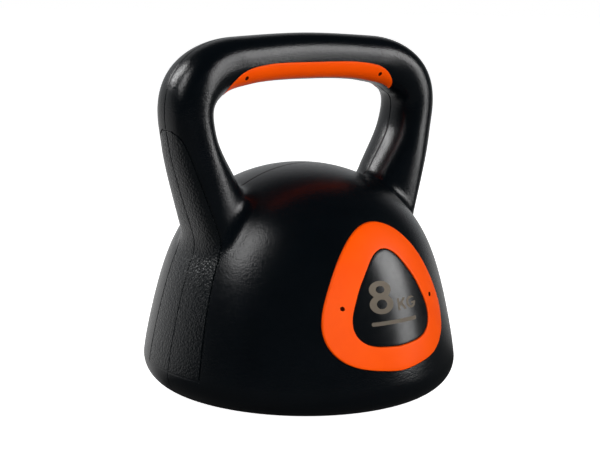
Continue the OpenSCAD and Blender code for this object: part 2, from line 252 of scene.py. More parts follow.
def net(xs, ys, zs):
    """Surface of the casing in a grid: one point in each cell that the surface crosses, joined by quads."""
    gx, gy, gz = np.meshgrid(xs, ys, zs, indexing="ij")
    shape = gx.shape
    f = casing_gap(gx.ravel(), gy.ravel(), gz.ravel()).reshape(shape)
    inside = f < 0
    cells = tuple(n - 1 for n in shape)
    total, count = np.zeros(cells + (3,)), np.zeros(cells)
    axes = (xs, ys, zs)
    crossings = []
    for ax in range(3):
        lo = [slice(None)] * 3
        hi = [slice(None)] * 3
        lo[ax], hi[ax] = slice(0, -1), slice(1, None)
        fa, fb = f[tuple(lo)], f[tuple(hi)]
        cross = inside[tuple(lo)] != inside[tuple(hi)]
        t = np.where(cross, fa / np.where(cross, fa - fb, 1), 0)
        pos = np.stack([g[tuple(lo)] for g in (gx, gy, gz)], -1).copy()
        step = np.diff(axes[ax]).reshape([-1 if k == ax else 1 for k in range(3)])
        pos[..., ax] += t * step
        pos *= cross[..., None]
        crossings.append((cross, inside[tuple(lo)]))
        o1, o2 = [k for k in range(3) if k != ax]
        for da in (0, 1):
            for db in (0, 1):
                src = [slice(None)] * 3
                src[o1] = slice(da, shape[o1] - 1 + da)
                src[o2] = slice(db, shape[o2] - 1 + db)
                total += pos[tuple(src)]
                count += cross[tuple(src)]
    active = count > 0
    ids = -np.ones(cells, int)
    ids[active] = np.arange(active.sum())
    verts = total[active] / count[active][:, None]
    quads = []
    for ax in range(3):
        cross, low_in = crossings[ax]
        o1, o2 = [k for k in range(3) if k != ax]
        mid = [slice(None)] * 3
        mid[o1], mid[o2] = slice(1, -1), slice(1, -1)
        c, flag = cross[tuple(mid)], low_in[tuple(mid)]
        at = np.argwhere(c)
        corner = []
        for da, db in ((0, 0), (1, 0), (1, 1), (0, 1)):
            k = at.copy()
            k[:, o1] += da
            k[:, o2] += db
            corner.append(ids[tuple(k.T)])
        q = np.stack(corner, 1)
        turn = flag[tuple(at.T)] ^ (ax == 1)
        q = np.where(turn[:, None], q, q[:, ::-1])
        quads.append(q)
    quads = np.concatenate(quads)
    return verts, quads[(quads >= 0).all(1)]


def quad_edges(q):
    return np.concatenate([q[:, [0, 1]], q[:, [1, 2]], q[:, [2, 3]], q[:, [3, 0]]])


def wall_between(q, count):
    """Closes two copies of an open net of quads, the second numbered on from count, by a wall along their border."""
    e = quad_edges(q)
    key = np.sort(e, 1)
    _, first, times = np.unique(key[:, 0] * count + key[:, 1], return_index=True, return_counts=True)
    b = e[first[times == 1]]
    wall = np.stack([b[:, 1], b[:, 0], b[:, 0] + count, b[:, 1] + count], 1)
    return np.concatenate([q, q[:, ::-1] + count, wall])


def relax(verts, quads, keep_x, keep_y, rounds=2):
    """Evens out the net along the surface, and keeps its border in the mirror planes."""
    e = quad_edges(quads)
    e = np.concatenate([e, e[:, ::-1]])
    n = np.bincount(e[:, 0], minlength=len(verts))
    for _ in range(rounds):
        mean = np.stack([np.bincount(e[:, 0], verts[e[:, 1], k], len(verts)) for k in range(3)], 1) / n[:, None]
        new = verts + 0.5 * (mean - verts)
        new[keep_x, 0] = verts[keep_x, 0]
        new[keep_y, 1] = verts[keep_y, 1]
        verts = onto(new, rounds=1)
        verts[keep_x, 0] = new[keep_x, 0]
    return verts


STEP = 1.7
GRID = (spread([STEP / 2], 109, STEP), -spread([0.12, 0.28, 0.4, 0.6, 0.9, 1.2], 107, STEP)[::-1],
        np.arange(-1.1, 233, STEP))


def quarter():
    """Outer skin of the casing where x is positive and y is negative."""
    verts, quads = net(*GRID)
    on_x, on_y = verts[:, 0] < 0.3, verts[:, 1] > -0.1
    verts[on_x, 0] = 0
    verts[on_y, 1] = 0
    near = on_y | (verts[:, 1] > -4)
    verts = relax(verts, quads, on_x, near)
    verts = onto(verts, rounds=3)
    verts[on_x, 0] = 0
    verts[on_y, 1] = 0
    verts[:, 2] = np.maximum(verts[:, 2], 0)
    return verts, quads, on_x, on_y


def half_from_quarter():
    """Mirrors the quarter in x, and gives the front half's outer skin."""
    v, q, on_x, on_y = quarter()
    other = np.arange(len(v)) + len(v)
    other[on_x] = np.arange(len(v))[on_x]
    both = np.concatenate([v, v * [-1, 1, 1]])
    faces = np.concatenate([q, other[q][:, ::-1]])
    used = np.unique(faces)
    remap = -np.ones(len(both), int)
    remap[used] = np.arange(len(used))
    return both[used], remap[faces], np.concatenate([on_y, on_y])[used]


def solid_half():
    """The half as a closed wall: outer skin, inner skin, and the rim along the seam."""
    v, q, rim = half_from_quarter()
    n = normals(v)
    n[rim, 1] = 0
    n /= np.linalg.norm(n, axis=1)[:, None]
    flat = v[:, 2] < 1e-4
    n[flat] = (0, 0, -1)
    deep = SEAM_ROUND * np.clip(1 - np.abs(v[:, 1]) / SEAM_REACH, 0, 1) ** 2
    outer = v - n * deep[:, None]
    inner = v - n * WALL
    outer[rim, 1] = inner[rim, 1] = -SEAM
    outer[~rim, 1] = np.minimum(outer[~rim, 1], -SEAM - 0.02)
    outer[:, 0] = np.clip(outer[:, 0], -HALF_WIDTH, HALF_WIDTH)
    inner[~rim, 1] = np.minimum(inner[~rim, 1], -SEAM - 0.02)
    return np.concatenate([outer, inner]), wall_between(q, len(v))


# ---------------------------------------------------------------- mesh helpers
def outwards(me):
    """Turns a closed mesh's faces outwards."""
    bm = bmesh.new()
    bm.from_mesh(me)
    if all(e.is_manifold for e in bm.edges) and bm.calc_volume(signed=True) < 0:
        bmesh.ops.reverse_faces(bm, faces=bm.faces)
        bm.to_mesh(me)
    bm.free()


def make(name, verts, faces, mats=()):
    """Object from points in millimetres."""
    me = bpy.data.meshes.new(name)
    me.from_pydata((np.asarray(verts, float) * MM).tolist(), [], [list(map(int, f)) for f in faces])
    me.validate()
    outwards(me)
    for m in mats:
        me.materials.append(m)
    me.shade_smooth()
    me.update()
    o = bpy.data.objects.new(name, me)
    bpy.context.scene.collection.objects.link(o)
    return o


def sharpen(o, degrees=34):
    o.data.shade_smooth()
    o.data.set_sharp_from_angle(angle=math.radians(degrees))
    return o


def cut(o, cutters):
    """Cuts closed meshes out of a closed mesh, and removes them."""
    for c in cutters:
        m = o.modifiers.new("cut", "BOOLEAN")
        m.operation, m.solver, m.object = "DIFFERENCE", "MANIFOLD", c
    dg = bpy.context.evaluated_depsgraph_get()
    me = bpy.data.meshes.new_from_object(o.evaluated_get(dg))
    old = o.data
    o.modifiers.clear()
    o.data = me
    me.name = o.name
    bpy.data.meshes.remove(old)
    for c in cutters:
        old = c.data
        bpy.data.objects.remove(c)
        bpy.data.meshes.remove(old)
    return o


def lathe(name, profile, count=96, mats=()):
    """Closed solid of revolution about a vertical line, from [radius, height] pairs that start and end on it."""
    a = np.arange(count) * 2 * math.pi / count
    verts, rows = [], []
    for r, z in profile:
        if r < 1e-6:
            rows.append([len(verts)])
            verts.append((0, 0, z))
        else:
            rows.append(list(range(len(verts), len(verts) + count)))
            verts += [(r * math.cos(t), r * math.sin(t), z) for t in a]
    faces = []
    for p, q in zip(rows, rows[1:]):
        for j in range(count):
            k = (j + 1) % count
            if len(p) == 1:
                faces.append((p[0], q[k], q[j]))
            elif len(q) == 1:
                faces.append((p[j], p[k], q[0]))
            else:
                faces.append((p[j], p[k], q[k], q[j]))
    return make(name, verts, faces, mats)


def loop_solid(name, rows, mats=()):
    """Solid from rows of points: each row runs around the piece, and the rows follow its section."""
    n, m = len(rows), len(rows[0])
    verts = np.concatenate(rows)
    faces = []
    for i in range(n):
        k = (i + 1) % n
        for j in range(m):
            j2 = (j + 1) % m
            faces.append((i * m + j, i * m + j2, k * m + j2, k * m + j))
    return make(name, verts, faces, mats)


def copied(o, matrix, name):
    me = o.data.copy()
    me.transform(matrix)
    if matrix.determinant() < 0:
        me.flip_normals()
    me.name = name
    me.update()
    c = bpy.data.objects.new(name, me)
    bpy.context.scene.collection.objects.link(c)
    return c


def turned(o):
    """A copy turned half round about the vertical axis, for the rear."""
    return copied(o, Matrix.Rotation(math.pi, 4, "Z"), o.name.replace("front", "rear"))


# ---------------------------------------------------------------- rings and badges, on the dome
def lobed(terms, turn):
    """Radius of a rounded triangle at angles from straight up."""
    return sum(t * np.cos(k * turn) for k, t in enumerate(terms))


def on_dome(x, z, rise):
    """Points of the dome's front at x and z, moved out by rise along y as the surface leans."""
    y = -np.sqrt(np.maximum(dome_rr(z) - x * x, 1))
    p = np.stack([x, y, z], -1).reshape(-1, 3)
    n = slope(p, dome_gap)
    n /= np.linalg.norm(n, axis=1)[:, None]
    p[:, 1] += np.ravel(rise * np.ones_like(x)) / n[:, 1]
    return p


def dome_row(radius, turn, rise):
    """Row of points round the badge's middle, over the dome by rise."""
    return on_dome(radius * np.sin(turn), BADGE_Z + radius * np.cos(turn), rise)


def edge_profile(r, n=4):
    """Distances in from an edge and below the top, round a corner of radius r."""
    a = np.linspace(0, math.pi / 2, n + 1)
    return [(r * (1 - math.sin(t)), r * (1 - math.cos(t))) for t in a[::-1]]


def pin_holes(o, radius, places):
    """Cuts blind pin holes along Y. Their walls take the piece's second material, a dark red painted shade in place of
    the shade inside the holes.
    """
    pins = []
    for place in places:
        c = lathe("pin", [[0, 0], [radius, 0], [radius, PIN_LONG], [0, PIN_LONG]], 32, [PIN_HOLE_SHADE, PIN_HOLE_SHADE])
        c.data.polygons.foreach_set("material_index", [1] * len(c.data.polygons))
        c.data.transform(Matrix.Translation(Vector(place) * MM) @ Matrix.Rotation(math.pi / 2, 4, "X"))
        pins.append(c)
    return sharpen(cut(o, pins))


def ring_piece(name, mat, count=288):
    """Trim ring: inner side, rounded inner edge, top, rounded outer edge, outer side, back."""
    gap, inner_round, outer_round, high, low = 0.12, 0.55, 0.7, RING_RISE, TRIM_LOW
    turn = np.arange(count) * 2 * math.pi / count
    rin, rout = lobed(BADGE_TERMS, turn) + gap, lobed(RING_TERMS, turn)
    rows = [dome_row(rin, turn, low), dome_row(rin, turn, high - 0.7)]
    rows += [dome_row(rin + d, turn, high - h) for d, h in edge_profile(inner_round)]
    rows += [dome_row(rin + inner_round + (rout - rin - inner_round - outer_round) * t, turn, high)
             for t in np.linspace(0, 1, 9)[1:-1]]
    rows += [dome_row(rout - d, turn, high - h) for d, h in edge_profile(outer_round)[::-1]]
    rows += [dome_row(rout, turn, high - 0.95), dome_row(rout, turn, low)]
    rows += [dome_row(rin + (rout - rin) * t, turn, low) for t in np.linspace(1, 0, 5)[1:-1]]
    o = loop_solid(name, rows[::-1], [mat, PIN_HOLE_SHADE])
    x, z = RING_PIN
    places = []
    for side in (-x, x):
        top = on_dome(np.array([side]), np.array([z]), high)[0]
        places.append((side, top[1] + RING_PIN_DEEP, z))
    return pin_holes(o, RING_PIN_R, places)


def fan_solid(name, rows, mats=()):
    """Closed piece from rows of points round a middle, closed at both ends by a fan."""
    m = len(rows[0])
    verts = np.concatenate(rows + [rows[0].mean(0)[None], rows[-1].mean(0)[None]])
    faces = []
    for i in range(len(rows) - 1):
        for j in range(m):
            k = (j + 1) % m
            faces.append((i * m + j, i * m + k, (i + 1) * m + k, (i + 1) * m + j))
    a, b = len(verts) - 2, len(verts) - 1
    last = (len(rows) - 1) * m
    faces += [(a, (j + 1) % m, j) for j in range(m)]
    faces += [(b, last + j, last + (j + 1) % m) for j in range(m)]
    return make(name, verts, faces, mats)


def badge_piece(name, mat, count=240):
    """Badge plate: back, side, rounded edge, top."""
    gap, edge_round, high, low = 0.12, 0.45, BADGE_RISE, TRIM_LOW
    turn = np.arange(count) * 2 * math.pi / count
    r = lobed(BADGE_TERMS, turn) - gap
    rows = [dome_row(r * t, turn, low) for t in (0.03, 0.2, 0.4, 0.6, 0.8, 1)]
    rows.append(dome_row(r, turn, high - 0.6))
    rows += [dome_row(r - d, turn, high - h) for d, h in edge_profile(edge_round)]
    rows += [dome_row((r - edge_round) * t, turn, high) for t in np.linspace(0.95, 0.05, 15)]
    return sharpen(fan_solid(name, rows, [mat]))


def ring_pocket(count=240):
    """Cutter for the recess of ring and badge, widening at the casing's surface to soften the recess's edge."""
    gap, floor_at, above = 0.16, -2, 4
    turn = np.arange(count) * 2 * math.pi / count
    r = lobed(RING_TERMS, turn) + gap
    shares = (0.05, 0.3, 0.6, 0.85)
    rows = [dome_row(r * t, turn, floor_at) for t in shares]
    rows += [dome_row(r + wider, turn, h)
             for wider, h in ((0, floor_at), (0, -0.2), (0.22, 0.02), (0.9, 0.7), (1.2, above))]
    rows += [dome_row(r * t, turn, above) for t in shares[::-1]]
    return fan_solid("ring_pocket", rows)


# ---------------------------------------------------------------- grip inserts, on the handle's skin
def skin(u, a, o):
    """Points of the handle: u along the half centreline, a the section angle (0 window, pi/2 front)."""
    side = np.sign(u)
    u = np.abs(u)
    p = path_at(u)
    e = 0.003
    # a centreline point before the middle is the mirror image of one after it
    before = path_at(np.abs(u - e)) * np.where(u < e, -1, 1)[:, None] ** [[1, 0]]
    d = path_at(u + e) - before
    d /= np.linalg.norm(d, axis=1)[:, None]
    c, s = np.cos(a), np.sin(a)
    t = np.where(c > 0, curve(T_IN, u), curve(T_OUT, u)) + o
    r = t * np.sign(c) * np.abs(c) ** (2 / SQUARE)
    y = -(curve(T_DEEP, u) + o) * np.sign(s) * np.abs(s) ** (2 / SQUARE)
    return np.stack([np.where(side < 0, -1, 1) * (p[:, 0] + d[:, 1] * r), y, p[:, 1] - d[:, 0] * r], 1)


def grip_limits(u, grow=0.0):
    """Section angles of the insert's lower and upper edge at u."""
    au = np.abs(u)
    low = np.arcsin(np.clip(((GRIP_LOW_Y - grow) / curve(T_DEEP, au)) ** (SQUARE / 2), 0, 1))
    lo, hi = np.full(len(u), 0.0), np.full(len(u), math.pi / 2 + 0.5)
    for _ in range(40):
        m = (lo + hi) / 2
        p = skin(au, m, 0.0)
        over = p[:, 2] > curve(GRIP_EDGE, np.abs(p[:, 0])) + 0.6 * grow
        past = np.abs(p[:, 0]) > GRIP_END_X + grow
        hi = np.where(over | past, m, hi)
        lo = np.where(over | past, lo, m)
    return low, (lo + hi) / 2


def grip_end(grow):
    """Place along the half centreline where the insert's lower and upper edges meet."""
    lo, hi = 0.1, 0.6
    for _ in range(40):
        m = (lo + hi) / 2
        a, b = grip_limits(np.array([m]), grow)
        if b[0] > a[0] + 0.01:
            lo = m
        else:
            hi = m
    return lo


def grip_solid(name, mats, grow, low, edge, n=150):
    """Insert, or with a positive grow the pocket for it. edge gives [distance in, height] from the rim to the top."""
    end = grip_end(grow)
    s = np.linspace(-1, 1, 2 * n + 1)
    u = np.clip(end * s * (1 + 0.25 * (1 - s * s)), -end, end)
    a, b = grip_limits(u, grow)
    b = np.maximum(b, a + 0.004)
    pa, pb = skin(u, a, 0.0), skin(u, (a + b) / 2, 0.0)
    pc = skin(u, b, 0.0)
    wide = np.linalg.norm(pb - pa, axis=1) + np.linalg.norm(pc - pb, axis=1)

    def row(d, h, t=None):
        """Row at distance d from the lower edge (or from the upper edge if d is negative), or at share t."""
        k = t * np.ones(len(u)) if t is not None else (
            np.minimum(d / wide, 0.46) if d >= 0 else 1 - np.minimum(-d / wide, 0.46))
        return skin(u, a + (b - a) * k, h)

    rows = [row(0, low), *[row(d, h) for d, h in edge]]
    k = edge[-1][0]
    for t in np.linspace(0, 1, 11)[1:-1]:
        f = np.minimum(k / wide, 0.46)
        rows.append(row(0, edge[-1][1], f + (1 - 2 * f) * t))
    rows += [row(-d if d > 0 else -1e-9, h) for d, h in edge[::-1]]
    rows.append(row(-1e-9, low))
    for t in (0.8, 0.6, 0.4, 0.2):
        rows.append(row(0, low, t))
    m, c = len(u), len(rows)
    verts = np.concatenate(rows)
    faces = []
    for i in range(c):
        i2 = (i + 1) % c
        for j in range(m - 1):
            faces.append((i * m + j, i2 * m + j, i2 * m + j + 1, i * m + j + 1))
    faces.append([i * m for i in range(c)][::-1])
    faces.append([i * m + m - 1 for i in range(c)])
    return make(name, verts, faces, mats)


def grip_piece(name, mat):
    gap, edge_round = 0.12, 0.45
    edge = [(0.0, GRIP_RISE - 0.5)] + [(d, GRIP_RISE - h) for d, h in edge_profile(edge_round)]
    o = grip_solid(name, [mat, PIN_HOLE_SHADE], -gap, TRIM_LOW, edge)
    x, z = GRIP_PIN
    return pin_holes(o, GRIP_PIN_R, [(side, GRIP_PIN_Y, z) for side in (-x, x)])


# ---------------------------------------------------------------- grooves of the side strips, on the front half
def side_point(y, z):
    """Outermost point of the casing at y and z, on the +X side."""
    x = np.full(len(z), 60.0)
    hi = np.full(len(z), 112.0)
    for _ in range(40):
        m = (x + hi) / 2
        inside = casing_gap(m, y, z) < 0
        x, hi = np.where(inside, m, x), np.where(inside, hi, m)
    return np.stack([x, y, z], 1)


def sweep(name, line, profile):
    """Closed cutter along a line on the casing. profile is [across, out] pairs in order round the section."""
    n = normals(line)
    t = np.gradient(line, axis=0)
    t -= n * (t * n).sum(1)[:, None]
    t /= np.linalg.norm(t, axis=1)[:, None]
    b = np.cross(n, t)
    m = len(profile)
    across, out = np.array(profile).T
    verts = np.concatenate([line[i] + np.outer(across, b[i]) + np.outer(out, n[i]) for i in range(len(line))])
    faces = []
    for i in range(len(line) - 1):
        for j in range(m):
            k = (j + 1) % m
            faces.append((i * m + j, (i + 1) * m + j, (i + 1) * m + k, i * m + k))
    faces.append(list(range(m)))
    faces.append([(len(line) - 1) * m + j for j in range(m)][::-1])
    return make(name, verts, faces)


def mirrored_x(o):
    return copied(o, Matrix.Scale(-1, 4, (1, 0, 0)), o.name)


# sections of the cutters: [across, out]
GROOVE = [(-1.0, 0.6), (-0.75, 0.12), (-0.62, -0.05), (-0.52, -0.25), (-0.42, -0.8)]
GROOVE += [(-a, b) for a, b in GROOVE[::-1]]
CREASE = [(-1.4, 0.5), (-0.9, 0.06), (-0.3, -0.16)]
CREASE += [(-a, b) for a, b in CREASE[::-1]]


def groove_cutters():
    """The groove up the front edge of each strip and over its arched top, and the crease along its foot."""
    past_seam = 1.5
    z = np.concatenate([np.linspace(20.2, 150, 110), np.linspace(151, STRIP_TOP, 40)[:-1]])
    w = curve(STRIP_EDGE, z)
    arch = z > STRIP_ARCH
    along = (z[arch] - STRIP_ARCH) / (STRIP_TOP - STRIP_ARCH)
    w[arch] = STRIP_ARCH_W * np.sqrt(np.maximum(1 - along ** 2, 0))
    top = np.linspace(-w[-1], past_seam, 8)[1:]
    line = side_point(np.concatenate([-w, top]), np.concatenate([z, np.full(len(top), float(STRIP_TOP))]))
    y = np.linspace(past_seam, -29.3, 28)
    foot = side_point(y, np.full(len(y), STRIP_LOW))
    up, low = sweep("groove", line, GROOVE), sweep("crease", foot, CREASE)
    return [up, mirrored_x(up), low, mirrored_x(low)]


def strip_mask(c):
    """True for points of the casing on a side strip."""
    w = curve(STRIP_EDGE, np.clip(c[:, 2], 19, STRIP_TOP))
    side = np.abs(c[:, 0]) > np.interp(c[:, 2], [0, 60, 100, 180], [80, 84, 76, 92])
    return side & (np.abs(c[:, 1]) < w) & (c[:, 2] > STRIP_LOW) & (c[:, 2] < STRIP_TOP)


# ---------------------------------------------------------------- materials
def new_mat(name):
    """Material, its nodes, its shader and its coordinates."""
    m = bpy.data.materials.new(name)
    m.use_nodes = True
    nt = m.node_tree
    nt.nodes.clear()
    out = nt.nodes.new("ShaderNodeOutputMaterial")
    b = nt.nodes.new("ShaderNodeBsdfPrincipled")
    nt.links.new(b.outputs["BSDF"], out.inputs["Surface"])
    tc = nt.nodes.new("ShaderNodeTexCoord")
    return m, nt, b, tc


def noise(nt, tc, scale, detail=3.0, rough=0.55):
    n = nt.nodes.new("ShaderNodeTexNoise")
    n.inputs["Scale"].default_value = scale
    n.inputs["Detail"].default_value = detail
    n.inputs["Roughness"].default_value = rough
    nt.links.new(tc.outputs["Object"], n.inputs["Vector"])
    return n.outputs["Fac"]


def ramp(nt, fac, stops):
    """Colour ramp. Each stop is a place with a colour or with one value."""
    r = nt.nodes.new("ShaderNodeValToRGB")
    while len(r.color_ramp.elements) > 1:
        r.color_ramp.elements.remove(r.color_ramp.elements[-1])
    for i, (p, c) in enumerate(stops):
        e = r.color_ramp.elements[0] if i == 0 else r.color_ramp.elements.new(p)
        e.position = p
        e.color = (*c, 1) if len(c) == 3 else (c[0], c[0], c[0], 1)
    nt.links.new(fac, r.inputs["Fac"])
    return r.outputs["Color"]


def pebble(nt, tc, scale, wobble):
    """Rounded cells like moulded leather grain, 0 between the cells and 1 on them."""
    n = nt.nodes.new("ShaderNodeTexNoise")
    n.inputs["Scale"].default_value = scale * 0.55
    n.inputs["Detail"].default_value = 2
    nt.links.new(tc.outputs["Object"], n.inputs["Vector"])
    mix = nt.nodes.new("ShaderNodeVectorMath")
    mix.operation = "MULTIPLY_ADD"
    mix.inputs[1].default_value = (wobble,) * 3
    nt.links.new(n.outputs["Color"], mix.inputs[0])
    nt.links.new(tc.outputs["Object"], mix.inputs[2])
    v = nt.nodes.new("ShaderNodeTexVoronoi")
    v.feature = "SMOOTH_F1"
    v.inputs["Scale"].default_value = scale
    v.inputs["Smoothness"].default_value = 0.5
    nt.links.new(mix.outputs["Vector"], v.inputs["Vector"])
    inv = nt.nodes.new("ShaderNodeMath")
    inv.operation = "SUBTRACT"
    inv.inputs[0].default_value = 1.0
    nt.links.new(v.outputs["Distance"], inv.inputs[1])
    return inv.outputs[0]


def bump(nt, height, distance, strength=1.0, under=None):
    """Surface relief of a height, in metres, on top of another relief."""
    k = nt.nodes.new("ShaderNodeBump")
    k.inputs["Distance"].default_value = distance
    k.inputs["Strength"].default_value = strength
    nt.links.new(height, k.inputs["Height"])
    if under is not None:
        nt.links.new(under, k.inputs["Normal"])
    return k.outputs["Normal"]


def surface(nt, b, colour_noise, dark, light, rough_noise, smooth, rough, spec, relief):
    """Colour from dark to light and roughness from smooth to rough, each over its own noise, and the relief."""
    nt.links.new(ramp(nt, colour_noise, [(0.3, dark), (0.7, light)]), b.inputs["Base Color"])
    nt.links.new(ramp(nt, rough_noise, [(0.3, (smooth,)), (0.7, (rough,))]), b.inputs["Roughness"])
    b.inputs["Specular IOR Level"].default_value = spec
    nt.links.new(relief, b.inputs["Normal"])


def casing_material(name, grain, depth, dark, light, smooth, rough, spec):
    """Moulded leather grain: grain is its cells to a metre, depth its height in metres."""
    m, nt, b, tc = new_mat(name)
    fine = bump(nt, noise(nt, tc, 2600, 2, 0.5), 0.00002, 0.5)
    relief = bump(nt, pebble(nt, tc, grain, 0.0006), depth, 1.0, fine)
    surface(nt, b, noise(nt, tc, 60, 4), dark, light, noise(nt, tc, 420, 3, 0.6), smooth, rough, spec, relief)
    return m


def trim_material(name, dark, light, smooth, rough, spec, depth):
    """Smooth moulded plastic or metal with slight unevenness of the given depth in metres."""
    m, nt, b, tc = new_mat(name)
    relief = bump(nt, noise(nt, tc, 1400, 3, 0.5), depth)
    surface(nt, b, noise(nt, tc, 45, 3), dark, light, noise(nt, tc, 300, 3), smooth, rough, spec, relief)
    return m


CASING = casing_material("casing_plastic", 1000, 0.000085, (0.0010, 0.0019, 0.0028), (0.0015, 0.0026, 0.0038),
                         0.2, 0.26, 0.45)
STRIP = casing_material("strip_plastic", 700, 0.00030, (0.0014, 0.0024, 0.0032), (0.0022, 0.0034, 0.0044),
                        0.2, 0.3, 0.5)
ORANGE = trim_material("orange_trim", (0.96, 0.082, 0.0003), (1.0, 0.094, 0.0005), 0.36, 0.44, 0.12, 0.00001)
# painted shade: the walls of the pin holes are coloured dark red to stand in for the shade that falls inside them
PIN_HOLE_SHADE = trim_material("pin_hole_painted_shade", (0.05, 0.004, 0.0005), (0.07, 0.006, 0.0008), 0.5, 0.6, 0.2, 0.00001)
BADGE = trim_material("badge_plastic", (0.0018, 0.0026, 0.0034), (0.0024, 0.0034, 0.0044), 0.2, 0.26, 0.5,
                      0.000003)
PRINT = trim_material("print_ink", (0.12, 0.1, 0.076), (0.145, 0.12, 0.09), 0.5, 0.6, 0.25, 0.000006)
PLUG = trim_material("plug_plastic", (0.010, 0.011, 0.012), (0.014, 0.015, 0.017), 0.5, 0.62, 0.4, 0.00002)
CORE = trim_material("core_fill", (0.22, 0.22, 0.21), (0.36, 0.35, 0.33), 0.8, 0.95, 0.3, 0.0004)
STEEL = trim_material("core_steel", (0.42, 0.43, 0.45), (0.55, 0.56, 0.58), 0.3, 0.42, 0.5, 0.00002)
STEEL.node_tree.nodes["Principled BSDF"].inputs["Metallic"].default_value = 1.0

# ---------------------------------------------------------------- pieces
front = make("casing_front", *solid_half(), [CASING, STRIP])
# recess for the plug's flange, then the filling hole, with the flange recess's edge softened
hole = lathe("hole", [[0, -1], [20.4, -1], [20.4, 0.0], [20.1, 0.3], [20.1, 1.2], [15.3, 1.2], [15, 1.5], [15, 6],
                      [0, 6]])
pocket = grip_solid("grip_pocket", [], 0.08, -2.0, [(0.0, -0.15), (0.0, 0.6), (0.0, 4.0)])
sharpen(cut(front, [hole, ring_pocket(), pocket, *groove_cutters()]))
centres = np.zeros(len(front.data.polygons) * 3)
front.data.polygons.foreach_get("center", centres)
on_strip = strip_mask(centres.reshape(-1, 3) / MM)
front.data.polygons.foreach_set("material_index", on_strip.astype(np.int32))
front.data.update()

ring = ring_piece("ring_front", ORANGE)
badge = badge_piece("badge_front", BADGE)
grip = grip_piece("grip_insert_front", ORANGE)

for o, node in ((front, "front_shell"), (ring, "front_ring"), (badge, "front_badge"), (grip, "front_grip_insert")):
    rear = turned(o)
    for p, n in ((o, node), (rear, node.replace("front", "rear"))):
        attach(p, "root")
        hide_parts(n)


# ---------------------------------------------------------------- the figure, the unit and a plain bar on the badges
def oval(x, z, cx, cz, a, b):
    """Signed distance, roughly, to an ellipse: negative inside it."""
    return (np.hypot((x - cx) / a, (z - cz) / b) - 1) * min(a, b)


def stroke(x, z, x0, z0, x1, z1, half):
    """Signed distance to a straight stroke with square ends."""
    d = np.array([x1 - x0, z1 - z0])
    n = np.linalg.norm(d)
    d = d / n
    s = (x - x0) * d[0] + (z - z0) * d[1]
    t = np.abs(-(x - x0) * d[1] + (z - z0) * d[0])
    return np.maximum(t - half, np.maximum(-s, s - n))


def figure_eight(x, z):
    solid = np.minimum(oval(x, z, -9.1, 77.9, 8.0, 5.1), oval(x, z, -9.4, 69.2, 8.8, 5.75))
    holes = np.minimum(oval(x, z, -9.1, 77.9, 3.2, 2.15), oval(x, z, -9.4, 69.2, 3.8, 2.85))
    return np.maximum(solid, -holes)


def letter_k(x, z):
    stem = stroke(x, z, 3.6, 64.2, 3.6, 71.3, 0.85)
    arm = stroke(x, z, 4.2, 67.0, 9.0, 71.3, 0.85)
    leg = stroke(x, z, 5.6, 68.6, 9.3, 64.2, 0.9)
    box = np.maximum(np.abs(z - 67.75) - 3.55, np.abs(x - 6.2) - 3.6)
    return np.maximum(np.minimum(np.minimum(stem, arm), leg), box)


def letter_g(x, z):
    band = np.maximum(oval(x, z, 14.6, 67.75, 4.2, 3.6), -oval(x, z, 14.6, 67.75, 2.5, 2.1))
    gap = np.maximum(np.abs(z - 68.9) - 1.15, 14.9 - x)
    bar = np.maximum(np.abs(z - 67.3) - 0.65, np.abs(x - 16.7) - 2.0)
    return np.minimum(np.maximum(band, -gap), bar)


def plain_bar(x, z):
    left, long, height, half = -17.5, 34, 57.9, 1.15
    t = np.clip((x - left) / long, 0, 1)
    return np.hypot(x - left - long * t, z - height) - half


def stencil(name, f, x0, x1, z0, z1, step=0.3, top=0.36, low=0.2):
    """Thin closed piece that follows the badge, over the area where f is negative."""
    gx, gz = np.meshgrid(np.arange(x0, x1 + step, step), np.arange(z0, z1 + step, step), indexing="ij")
    v = f(gx, gz)
    inside = v < 0
    cell = inside[:-1, :-1] | inside[1:, :-1] | inside[:-1, 1:] | inside[1:, 1:]
    used = np.zeros(gx.shape, bool)
    for a in (slice(0, -1), slice(1, None)):
        for b in (slice(0, -1), slice(1, None)):
            used[a, b] |= cell
    px, pz = gx.copy(), gz.copy()
    move = used & ~inside
    e = 0.01
    for _ in range(4):
        x, z = px[move], pz[move]
        d = f(x, z)
        dx, dz = (f(x + e, z) - f(x - e, z)) / (2 * e), (f(x, z + e) - f(x, z - e)) / (2 * e)
        k = np.maximum(dx * dx + dz * dz, 0.05)
        px[move] -= np.clip(d * dx / k, -0.5 * step, 0.5 * step)
        pz[move] -= np.clip(d * dz / k, -0.5 * step, 0.5 * step)
    ids = -np.ones(gx.shape, int)
    ids[used] = np.arange(used.sum())
    at = np.argwhere(cell)
    q = np.stack([ids[tuple((at + k).T)] for k in ([0, 0], [1, 0], [1, 1], [0, 1])], 1)
    x, z = px[used], pz[used]
    upper, lower = on_dome(x, z, top), on_dome(x, z, low)
    return sharpen(make(name, np.concatenate([upper, lower]), wall_between(q, len(x)), [PRINT]), 50)


prints = [stencil("figure_8_front", figure_eight, -18.6, -0.2, 63, 83.4),
          stencil("unit_k_front", letter_k, 2.3, 10.2, 63.8, 71.8, 0.2),
          stencil("unit_g_front", letter_g, 10.0, 19.4, 63.8, 71.8, 0.2),
          stencil("plain_bar_front", plain_bar, -19, 18, 56.4, 59.4)]
for o in prints:
    for p in (o, turned(o)):
        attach(p, "root")

plug = lathe("base_plug", [[0, 10], [14.5, 10], [14.9, 9.6], [14.9, 1.1], [19.4, 1.1], [19.8, 0.75], [19.8, 0.45],
                           [19.5, 0.2], [12.6, 0.2], [12.2, 0.6], [0, 0.6]][::-1], 128, [PLUG])
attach(sharpen(plug), "root")
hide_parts("fill_plug")

for node, mat in (("weight_core", CORE), ("handle_reinforcement", STEEL)):
    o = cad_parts[node]
    o.data.materials.clear()
    o.data.materials.append(mat)

